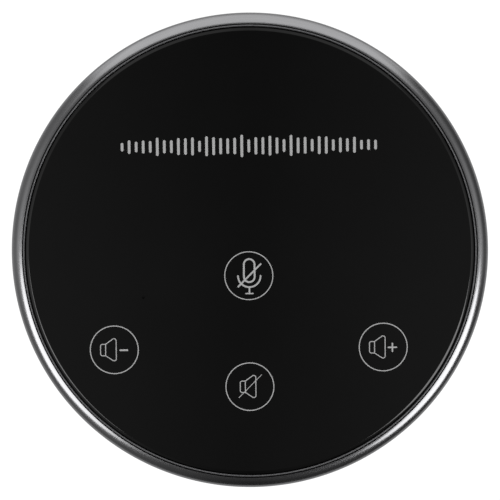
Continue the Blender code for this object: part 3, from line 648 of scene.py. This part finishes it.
def make_key_marks(ink):
    """A ring with its symbol for each touch key, as one piece."""
    drawings = {
        "mic_mute": mic_lines,
        "volume_down": lambda shift: speaker_lines(shift) + minus_lines(shift),
        "volume_up": lambda shift: speaker_lines(shift) + plus_lines(shift),
        "speaker_mute": speaker_mute_lines,
    }
    for name, place in KEY_MARKS.items():
        ring = key_ring(place)
        ring.name = f"key_mark_{name}"
        ring.data.materials.append(ink)
        combined(ring, drawings[name](place), "UNION")
        show(ring, "touch_panel")


def make_wave_mark(ink):
    """A row of bars like a sound wave, in place of any lettering. They swell and ripple along the row."""
    bars = []
    for i in range(WAVE_BARS):
        share = i / (WAVE_BARS - 1)
        swell = 0.4 + 0.6 * math.sin(math.pi * share) ** 0.5
        ripple = 0.72 + 0.28 * math.sin(2.15 * i) * math.cos(0.55 * i)
        half = max(WAVE_LINE * 0.35, (WAVE_HEIGHT - WAVE_LINE) / 2 * swell * ripple)
        x = (share - 0.5) * (WAVE_WIDTH - WAVE_LINE)
        bars.append(line_mark(f"wave_bar_{i}", [(x, -half), (x, half)], WAVE_LINE, False, WAVE_CENTRE))
    first = bars[0]
    first.name = "sound_wave_mark"
    first.data.materials.append(ink)
    combined(first, bars[1:], "UNION")
    show(first, "touch_panel")


# The ring and the base


def ring_crown():
    """The ring's upper surface, from the groove beside its bead out to where it is widest."""
    return convex_edge(RING_SLOPE_AT_GROOVE, RING_BENDS, RING_RADIUS, RING_TOP)


def make_trim_ring(metal):
    """A metal ring with a bead at its bore, a groove, a crown, and a ledge inside."""
    bead = RING_BORE + RING_BEAD
    lip = arc((bead, RING_TOP - RING_BEAD), RING_BEAD, 180, 15, 10)
    crown = ring_crown()
    hollow = ((lip[-1][0] + crown[0][0]) / 2, RING_TOP - RING_BEAD - RING_GROOVE_DEPTH)
    foot_centre = (RING_RADIUS - RING_FOOT_ROUND, RING_BOTTOM + RING_FOOT_ROUND)
    foot = arc(foot_centre, RING_FOOT_ROUND, 0, -90, 5)
    profile = [
        *lip,
        hollow,
        *crown,
        *foot,
        (RING_WALL_INNER, RING_BOTTOM),
        (RING_WALL_INNER, RING_LEDGE_BOTTOM),
        (RING_LEDGE_INNER, RING_LEDGE_BOTTOM),
        (RING_LEDGE_INNER, RING_LEDGE_TOP),
        (RING_BORE, RING_LEDGE_TOP),
    ]
    show(turned("metal_trim_ring", profile, metal), "trim_ring", "trim_ring")


def shell_wall():
    """The outer surface of the base from its shoulder down to its underside."""
    toe_top = SHELL_UNDERSIDE + TOE_ROUND * (1 - math.sin(SHELL_DRAFT))
    foot = SHELL_RADIUS - (SHELL_SHOULDER - toe_top) * math.tan(SHELL_DRAFT)
    toe_centre = (foot - TOE_ROUND * math.cos(SHELL_DRAFT), SHELL_UNDERSIDE + TOE_ROUND)
    draft = math.degrees(SHELL_DRAFT)
    shoulder_centre = (SHELL_RADIUS - SHOULDER_ROUND, SHELL_SHOULDER - SHOULDER_ROUND)
    shoulder = arc(shoulder_centre, SHOULDER_ROUND, 90, -draft, SHOULDER_STEPS)
    return [*shoulder, *arc(toe_centre, TOE_ROUND, -draft, -90, 16)]


def shell_profile():
    """The base's section: a bowl with grooves for the foot and the label in its underside."""
    wall = shell_wall()
    floor = SHELL_UNDERSIDE + SHELL_FLOOR
    inside_round = SHELL_INSIDE_RADIUS - wall[-1][0]
    groove = SHELL_UNDERSIDE + FOOT_GROOVE_DEPTH
    label_recess = SHELL_UNDERSIDE + LABEL_RECESS_DEPTH
    edge = SHELL_EDGE
    foot_outer, foot_inner = FOOT_RADIUS + FIT_GAP, FOOT_INNER - FIT_GAP
    label = LABEL_HIGH.x + FIT_GAP
    return [
        (0, floor),
        *arc((wall[-1][0], floor + inside_round), inside_round, -90, 0, 8),
        (SHELL_INSIDE_RADIUS, SPIGOT_TOP),
        (RING_WALL_INNER - FIT_GAP, SPIGOT_TOP),
        (RING_WALL_INNER - FIT_GAP, SHELL_SHOULDER),
        *wall,
        (foot_outer + edge, SHELL_UNDERSIDE),
        (foot_outer, SHELL_UNDERSIDE + edge),
        (foot_outer, groove),
        (foot_inner, groove),
        (foot_inner, SHELL_UNDERSIDE + edge),
        (foot_inner - edge, SHELL_UNDERSIDE),
        (label + edge, SHELL_UNDERSIDE),
        (label, SHELL_UNDERSIDE + edge),
        (label, label_recess),
        (0, label_recess),
    ]


def slot_cutters():
    """A chamfered slot through the wall at each place, square to the drafted wall."""
    surface = SHELL_RADIUS - (SHELL_SHOULDER - SLOT_CENTRE_Z) * math.tan(SHELL_DRAFT)
    mouth = (SLOT_OVERSHOOT, SLOT_OVERSHOOT + SLOT_CHAMFER)
    stations = ((-SLOT_DEPTH, 0.0), (-SLOT_CHAMFER, 0.0), mouth)
    lean = Matrix.Translation((surface, 0, SLOT_CENTRE_Z)) @ Matrix.Rotation(SHELL_DRAFT, 4, "Y")
    cutters = []
    for i in range(round(360 / SLOT_PITCH)):
        angle = SLOT_PITCH * i
        if abs(angle - 90) <= SLOTLESS_HALF_ANGLE:
            continue
        rings = []
        for depth, flare in stations:
            width, height = SLOT_WIDTH + 2 * flare, SLOT_HEIGHT + 2 * flare
            outline = rounded_box_outline(width, height, NEARLY_HALF * width, 6)
            rings.append([(depth, y, z) for y, z in outline])
        turn = Matrix.Rotation(math.radians(angle), 4, "Z") @ lean
        cutters.append(lofted(f"slot_{i}", rings, turn=turn))
    return cutters


def bay_block():
    """The solid round the port bay, kept just inside the base's outer surface."""
    top = BAY_TOP + BAY_WALL
    width, height = 2 * (BAY_HALF_WIDTH + BAY_WALL), top - SHELL_UNDERSIDE
    outline = rounded_box_outline(width, height, 1 * MM, 2)
    middle = (top + SHELL_UNDERSIDE) / 2
    ends = (BAY_BACK - BAY_WALL, RING_RADIUS)
    block = lofted("bay_block", [along_y(outline, y, 0, middle) for y in ends])
    neck = RING_WALL_INNER - 2 * FIT_GAP
    wall = [(r - BAY_INSET, z) for r, z in shell_wall()[SHOULDER_STEPS:]]
    limit = [(0, SPIGOT_TOP), (neck, SPIGOT_TOP), (neck, SHELL_SHOULDER), *wall, (0, wall[-1][1])]
    return combined(block, [turned("bay_limit", limit, steps=SHELL_STEPS)], "INTERSECT")


def circle_outline(radius, steps):
    return arc((0, 0), radius, 0, 360, steps)[:-1]


def socket_holes():
    """A flared hole through the back of the bay for each socket."""
    usb_width, usb_height = USB_HIGH.x - USB_LOW.x, USB_HIGH.z - USB_LOW.z
    flare_end = (BAY_BACK + 1 * MM, 1 * MM + SOCKET_HOLE_DEPTH)
    stations = ((BAY_BACK - 2 * BAY_WALL, 0), (BAY_BACK - SOCKET_HOLE_DEPTH, 0), flare_end)
    usb_rings, jack_rings = [], []
    for y, flare in stations:
        grown = 2 * (FIT_GAP + flare)
        width, height = usb_width + grown, usb_height + grown
        outline = rounded_box_outline(width, height, NEARLY_HALF * height)
        usb_rings.append(along_y(outline, y, *usb_place()))
        circle = circle_outline(JACK_BARREL_RADIUS + FIT_GAP + flare, 48)
        jack_rings.append(along_y(circle, y, *jack_place()))
    return [lofted("usb_hole", usb_rings), lofted("jack_hole", jack_rings)]


def usb_place():
    """The USB-C socket's centre in x and z."""
    return (USB_LOW.x + USB_HIGH.x) / 2, (USB_LOW.z + USB_HIGH.z) / 2


def jack_place():
    """The headphone socket's centre in x and z."""
    return (JACK_LOW.x + JACK_HIGH.x) / 2, (SLEEVE_LOW.z + SLEEVE_HIGH.z) / 2


def make_base_shell(plastic):
    """A moulded bowl with sound slots round its wall and a port bay at the rear."""
    shell = turned("moulded_base", shell_profile(), plastic, SHELL_STEPS)
    combined(shell, [bay_block()], "UNION")
    middle = (BAY_TOP + BAY_BOTTOM) / 2
    width, height = 2 * BAY_HALF_WIDTH, BAY_TOP - BAY_BOTTOM
    outline = rounded_box_outline(width, height, BAY_CORNER)
    back = rounded_box_outline(width - 2 * BAY_EDGE, height - 2 * BAY_EDGE, BAY_CORNER - BAY_EDGE)
    pocket = [
        along_y(back, BAY_BACK, 0, middle),
        along_y(outline, BAY_BACK + BAY_EDGE, 0, middle),
        along_y(outline, RING_RADIUS + 5 * MM, 0, middle),
    ]
    combined(shell, [lofted("bay_pocket", pocket)], "DIFFERENCE")
    combined(shell, socket_holes() + slot_cutters(), "DIFFERENCE")
    show(shell, "base_shell", "base_shell")


def make_foot_ring(rubber):
    """A soft ring with three shallow grooves in its sole."""
    inner, outer, edge = FOOT_INNER, FOOT_RADIUS, FOOT_EDGE
    groove, depth = SOLE_GROOVE_HALF_WIDTH, SOLE_GROOVE_DEPTH
    sole = arc((inner + edge, edge), edge, 180, 270, 5)
    for i in (1, 2, 3):
        middle = inner + (outer - inner) * i / 4
        for offset, rise in ((-groove, 0), (-groove / 2, depth), (groove / 2, depth), (groove, 0)):
            sole.append((middle + offset, rise))
    sole += arc((outer - edge, edge), edge, 270, 360, 5)
    profile = [(inner, FOOT_TOP), (outer, FOOT_TOP), *reversed(sole)]
    show(turned("rubber_foot_ring", profile, rubber), "foot_ring", "foot_ring")


def make_label(film):
    """A blank rating plate with a fine raised border."""
    low, high, radius = LABEL_LOW.z, LABEL_HIGH.z, LABEL_HIGH.x
    rise, border = 0.04 * MM, 0.35 * MM
    inset = 1.2 * MM
    profile = [
        (0, high),
        (radius, high),
        (radius, low + rise),
        (radius - rise, low),
        (radius - inset, low),
        (radius - inset - rise, low - rise),
        (radius - inset - border, low - rise),
        (radius - inset - border - rise, low),
        (0, low),
    ]
    show(turned("blank_label", profile, film), "label_plate", "label_plate")


# The sockets


def make_usb_can(steel):
    """The socket's steel shell, with its front edge eased inside and out."""
    width, height = USB_HIGH.x - USB_LOW.x, USB_HIGH.z - USB_LOW.z
    wall, lip = USB_WALL, USB_LIP
    stations = [
        (0, USB_LOW.y),
        (0, USB_HIGH.y - lip),
        (lip, USB_HIGH.y),
        (wall - lip, USB_HIGH.y),
        (wall, USB_HIGH.y - lip),
        (wall, USB_LOW.y),
    ]
    rings = []
    for inset, y in stations:
        across, up = width - 2 * inset, height - 2 * inset
        outline = rounded_box_outline(across, up, NEARLY_HALF * up, 12)
        rings.append(along_y(outline, y, *usb_place()))
    shell = lofted("usb_socket_can", rings, steel, capped=False)
    show(shell, "socket_steel", "usb_socket_shell")


def make_usb_tongue(plastic):
    """The tongue with its thinned tip, and the liner at the socket's back that holds it."""
    place = usb_place()
    tongue = rounded_box_outline(*USB_TONGUE, 0.15 * MM, 3)
    tip = rounded_box_outline(*USB_TONGUE_TIP, 0.1 * MM, 3)
    blade = lofted("usb_socket_blade", [
        along_y(tongue, TONGUE_LOW.y + 0.5 * MM, *place),
        along_y(tongue, TONGUE_HIGH.y - 0.2 * MM, *place),
        along_y(tip, TONGUE_HIGH.y, *place),
    ], plastic)
    width, height = TONGUE_HIGH.x - TONGUE_LOW.x, TONGUE_HIGH.z - TONGUE_LOW.z
    liner = rounded_box_outline(width, height, USB_LINER_CORNER)
    ends = (TONGUE_LOW.y, TONGUE_LOW.y + USB_LINER_DEPTH)
    plug = lofted("usb_liner", [along_y(liner, y, *place) for y in ends])
    combined(blade, [plug], "UNION")
    show(blade, "socket_plastic", "usb_socket_tongue")


def make_usb_contacts(brass):
    """The rows of contacts above and below the tongue, as one piece."""
    x, z = usb_place()
    pad = rounded_box_outline(*USB_CONTACT, 0.02 * MM, 1)
    ends = (TONGUE_LOW.y + USB_LINER_DEPTH, TONGUE_HIGH.y - 0.45 * MM)
    bars = []
    for side in (-1, 1):
        for i in range(USB_CONTACTS):
            across = x + (i - (USB_CONTACTS - 1) / 2) * USB_CONTACT_PITCH
            up = z + side * USB_CONTACT_OFFSET
            rings = [along_y(pad, y, across, up) for y in ends]
            bars.append(lofted(f"usb_contact_{side}_{i}", rings))
    first = bars[0]
    first.name = "usb_socket_contacts"
    first.data.materials.append(brass)
    combined(first, bars[1:], "UNION")
    show(first, "socket_brass")


def jack_ring(radius, y):
    """A circle about the headphone socket's axis."""
    return along_y(circle_outline(radius, 64), y, *jack_place())


def make_headphone_body(plastic):
    """The socket's block with its barrel, bored for the plug and recessed for the sleeve."""
    radius, front, edge = JACK_BARREL_RADIUS, JACK_HIGH.y, 0.2 * MM
    body_front = BAY_BACK - BAY_WALL - FIT_GAP
    outline = rounded_box_outline(JACK_HIGH.x - JACK_LOW.x, JACK_BODY_HEIGHT, 0.3 * MM, 3)
    ends = (JACK_LOW.y, body_front)
    rings = [along_y(outline, y, *jack_place()) for y in ends]
    body = lofted("headphone_socket_block", rings, plastic)
    barrel = lofted("jack_barrel", [
        jack_ring(radius, body_front - edge),
        jack_ring(radius, front - edge),
        jack_ring(radius - edge, front),
    ])
    past_front = front + 1 * MM
    seat_radius = JACK_BORE + SLEEVE_WALL + FIT_GAP
    seat_ends = (SLEEVE_LOW.y - FIT_GAP, past_front)
    seat = lofted("jack_seat", [jack_ring(seat_radius, y) for y in seat_ends])
    bore_ends = (JACK_LOW.y + 0.8 * MM, past_front)
    hole = lofted("jack_hole", [jack_ring(JACK_BORE, y) for y in bore_ends])
    combined(body, [barrel], "UNION")
    combined(body, [seat, hole], "DIFFERENCE")
    show(body, "socket_plastic", "headphone_socket_body")


def make_headphone_sleeve(brass):
    """The brass sleeve that a plug slides into, with a lip at its mouth."""
    outer, lip = JACK_BORE + SLEEVE_WALL, 0.12 * MM
    sleeve = lofted("headphone_socket_ring", [
        jack_ring(outer, SLEEVE_LOW.y),
        jack_ring(outer, SLEEVE_HIGH.y - lip),
        jack_ring(outer - lip, SLEEVE_HIGH.y),
        jack_ring(JACK_BORE + lip, SLEEVE_HIGH.y),
        jack_ring(JACK_BORE, SLEEVE_HIGH.y - 2 * lip),
        jack_ring(JACK_BORE, SLEEVE_LOW.y),
    ], brass, capped=False)
    show(sleeve, "socket_brass", "headphone_socket_sleeve")


# Stage


def make_floor():
    """A plain white table top that glows enough to read as white, with a painted contact shadow in its glow
    under the microphone's edge.

    It can be seen through from below.
    """
    made, tree, shader = new_material("white_floor", Roughness=0.6, Emission_Strength=1.0)
    shader.inputs["Base Color"].default_value = (0.05, 0.05, 0.05, 1)
    out = radial_place(tree)[0]
    # Painted contact shadow: the glow dims to 0.15 in a ring under the microphone, darkest just outside the
    # foot. It rises back to full glow at the ring's edge and inside the foot.
    outside = remap(tree, out, 0, 1, 0.85 * SHELL_RADIUS, RING_RADIUS)
    underneath = remap(tree, out, 1, 0, FOOT_INNER, FOOT_RADIUS)
    lit = maths(tree, "MAXIMUM", outside, underneath)
    glow = blend_colours(tree, lit, grey(0.15), grey(1.0))
    tree.links.new(glow, shader.inputs["Emission Color"])
    see_through = new_node(tree, "ShaderNodeBsdfTransparent").outputs[0]
    backface = new_node(tree, "ShaderNodeNewGeometry").outputs["Backfacing"]
    output = tree.nodes["Material Output"]
    mix = new_node(tree, "ShaderNodeMixShader", i0=backface, i1=shader.outputs[0], i2=see_through)
    tree.links.new(mix.outputs[0], output.inputs["Surface"])
    bm = bmesh.new()
    bmesh.ops.create_circle(bm, cap_ends=True, segments=128, radius=FLOOR_RADIUS)
    floor = finish_mesh(bm, "floor", made)
    if floor.data.polygons[0].normal.z < 0:
        floor.data.flip_normals()


def softbox(name, direction, distance, size, radiance, shape="ELLIPSE", upright=False):
    """A light that faces the microphone, or stands upright.

    direction is its azimuth, anticlockwise from +X, and its elevation, in degrees.
    """
    azimuth, elevation = (math.radians(angle) for angle in direction)
    level = math.cos(elevation)
    away = Vector((math.cos(azimuth) * level, math.sin(azimuth) * level, math.sin(elevation)))
    data = bpy.data.lights.new(name, "AREA")
    data.shape = shape
    data.size, data.size_y = size
    area = size[0] * size[1] * (math.pi / 4 if shape == "ELLIPSE" else 1)
    data.energy = radiance * math.pi * area
    light = bpy.data.objects.new(name, data)
    bpy.context.scene.collection.objects.link(light)
    light.location = away * distance
    back = Vector((away.x, away.y, 0)) if upright else away
    light.rotation_euler = back.to_track_quat("Z", "Y").to_euler()
    return light


def make_lights():
    """Two softboxes at the front corners and two behind. The tall one behind doesn't light the glass."""
    softbox("right_softbox", (-38.2, 46), 0.9, (0.53, 0.56), 7.2)
    softbox("left_softbox", (-144.8, 52), 0.9, (0.46, 0.56), 7.0)
    softbox("rear_softbox", (90, 38), 1.0, (1.38, 1.1), 0.7, "RECTANGLE")
    rim_light = softbox("rim_softbox", (90, 49), 1.52, (2.0, 2.3), 1.9, "RECTANGLE", upright=True)
    spared = bpy.data.collections.new("not lit by the rim light")
    spared.objects.link(bpy.data.objects["glass_panel"])
    rim_light.light_linking.receiver_collection = spared
    spared.collection_objects[0].light_linking.link_state = "EXCLUDE"


def make_world():
    """A soft studio: dark overhead, in front and behind, pale at the sides, and palest high up there."""
    world = bpy.data.worlds.new("studio")
    bpy.context.scene.world = world
    world.use_nodes = True
    tree = world.node_tree
    direction = new_node(tree, "ShaderNodeTexCoord").outputs["Generated"]
    x, y, z = new_node(tree, "ShaderNodeSeparateXYZ", Vector=direction).outputs
    sideways = maths(tree, "ABSOLUTE", x)
    front = remap(tree, y, 0.1, 0, -0.1, 0.02)
    beside = remap(tree, sideways, 0, 0.1, 0, 0.075)
    not_low_front = remap(tree, y, 0, 1, -0.32, -0.18)
    overhead = maths(tree, "MULTIPLY", maths(tree, "ADD", front, beside), not_low_front)
    low_level = remap(tree, x, 0.58, 0.15, -0.3, 0.3)
    raised = remap(tree, z, 0, 1, 0.42, 0.7)
    side_level = new_node(tree, "ShaderNodeMix", i0=raised, i2=low_level, i3=0.85).outputs[0]
    side = maths(tree, "MULTIPLY", sideways, side_level)
    not_behind = remap(tree, y, 0.8, 0, -0.05, 0.3)
    far_sideways = remap(tree, sideways, 0, 1, 0.35, 0.6)
    wing = maths(tree, "MULTIPLY", maths(tree, "MULTIPLY", not_behind, far_sideways), raised)
    glow = maths(tree, "ADD", overhead, maths(tree, "ADD", side, wing))
    level = maths(tree, "ADD", glow, 0.08)
    tree.links.new(level, tree.nodes["Background"].inputs["Color"])


def make_camera():
    """Almost straight above, turned slightly, and aimed at the ring's widest part."""
    data = bpy.data.cameras.new("camera")
    data.sensor_width = SENSOR_WIDTH
    data.lens = SENSOR_WIDTH * CAMERA_DISTANCE / VIEW_WIDTH
    data.clip_start, data.clip_end = 0.01, 20.0
    camera = bpy.data.objects.new("camera", data)
    bpy.context.scene.collection.objects.link(camera)
    widest = ring_crown()[-1][1]
    lean = Matrix.Rotation(-CAMERA_TILT, 4, "X") @ Matrix.Rotation(CAMERA_ROLL, 4, "Z")
    aim = Matrix.Translation((*CAMERA_AIM, widest))
    camera.matrix_world = aim @ lean @ Matrix.Translation((0, 0, CAMERA_DISTANCE))
    bpy.context.scene.camera = camera
    bpy.context.scene.view_settings.view_transform = "Standard"


def dress_inner_nodes(materials):
    """Smooth shading and a finish for each CAD node that is still shown."""
    group = crisp_smooth_group()
    slots = {row["node"]: row["material_slot"] for row in frame["record"]["subparts"]}
    for name, node in frame["nodes"].items():
        if node.hide_render:
            continue
        modifier = node.modifiers.new("crisp smooth", "NODES")
        modifier.node_group = group
        node.material_slots[0].material = materials[slots[name]]


def inner_materials():
    """A finish for each material slot of the CAD nodes that are still shown."""
    tape = grained("adhesive_film", (0.5, 0.44, 0.36), (0.6, 0.54, 0.45), (0.55, 0.75), 0.3 * MM, 0.02 * MM)
    tray = grained("tray_plastic", grey(0.018), grey(0.028), (0.5, 0.65), 0.2 * MM, 0.01 * MM)
    resin = grained("lamp_resin", (0.75, 0.7, 0.4), (0.9, 0.86, 0.6), (0.2, 0.35), 0.3 * MM, 0.004 * MM)
    chip = grained("chip_plastic", grey(0.012), grey(0.02), (0.45, 0.6), 0.06 * MM, 0.006 * MM)
    boot = grained("boot_rubber", grey(0.016), grey(0.028), (0.7, 0.85), 0.15 * MM, 0.01 * MM)
    nylon_tints = (0.62, 0.58, 0.48), (0.72, 0.68, 0.58)
    nylon = grained("housing_nylon", *nylon_tints, (0.35, 0.5), 0.2 * MM, 0.005 * MM)
    sleeving_tints = (0.25, 0.01, 0.01), (0.36, 0.02, 0.02)
    sleeving = grained("lead_insulation", *sleeving_tints, (0.35, 0.5), 0.3 * MM, 0.005 * MM)
    zinc = metal("zinc_plate", grey(0.4), grey(0.55), (0.28, 0.45), 1.5 * MM, 0.004 * MM, cloud=0.006)
    return {
        "adhesive_film": tape,
        "tray_plastic": tray,
        "acoustic_mesh": make_cloth(),
        "weight_plate": zinc,
        "main_pcb": make_laminate(),
        "spring_steel": metal("spring_steel", grey(0.5), grey(0.62), (0.22, 0.32)),
        "lamp_resin": resin,
        "chip_plastic": chip,
        "metal_can": metal("metal_can", grey(0.6), grey(0.7), (0.25, 0.38), stretch=(1, 1, 9)),
        "boot_rubber": boot,
        "connector_housing": nylon,
        "lead_insulation": sleeving,
        "screw_steel": zinc,
    }


def make_outside():
    """The panel with its print, the ring, and the base with its foot and label."""
    ink = make_print()
    make_touch_panel(make_glass())
    make_key_marks(ink)
    make_wave_mark(ink)
    make_trim_ring(make_ring_metal())
    plastic = grained("shell_plastic", grey(0.011), grey(0.016), (0.42, 0.55), 0.22 * MM, 0.02 * MM)
    make_base_shell(plastic)
    rubber = grained("foot_rubber", grey(0.012), grey(0.02), (0.75, 0.9), 0.12 * MM, 0.01 * MM)
    make_foot_ring(rubber)
    brushed = {"stretch": (1, 12, 1)}
    film = grained("label_film", grey(0.33), grey(0.38), (0.32, 0.42), 0.08 * MM, 0.001 * MM, **brushed)
    make_label(film)


def make_sockets():
    """The USB-C and headphone sockets in the port bay."""
    steel = metal("socket_steel", grey(0.5), grey(0.62), (0.2, 0.34))
    brass = metal("socket_brass", (0.62, 0.42, 0.14), (0.75, 0.55, 0.24), (0.18, 0.3))
    plastic = grained("socket_plastic", grey(0.012), grey(0.02), (0.35, 0.5), 0.1 * MM, 0.003 * MM)
    make_usb_can(steel)
    make_usb_tongue(plastic)
    make_usb_contacts(brass)
    make_headphone_body(plastic)
    make_headphone_sleeve(brass)


def main():
    make_camera()
    make_floor()
    make_world()
    make_outside()
    make_sockets()
    make_lights()
    dress_inner_nodes(inner_materials())


main()
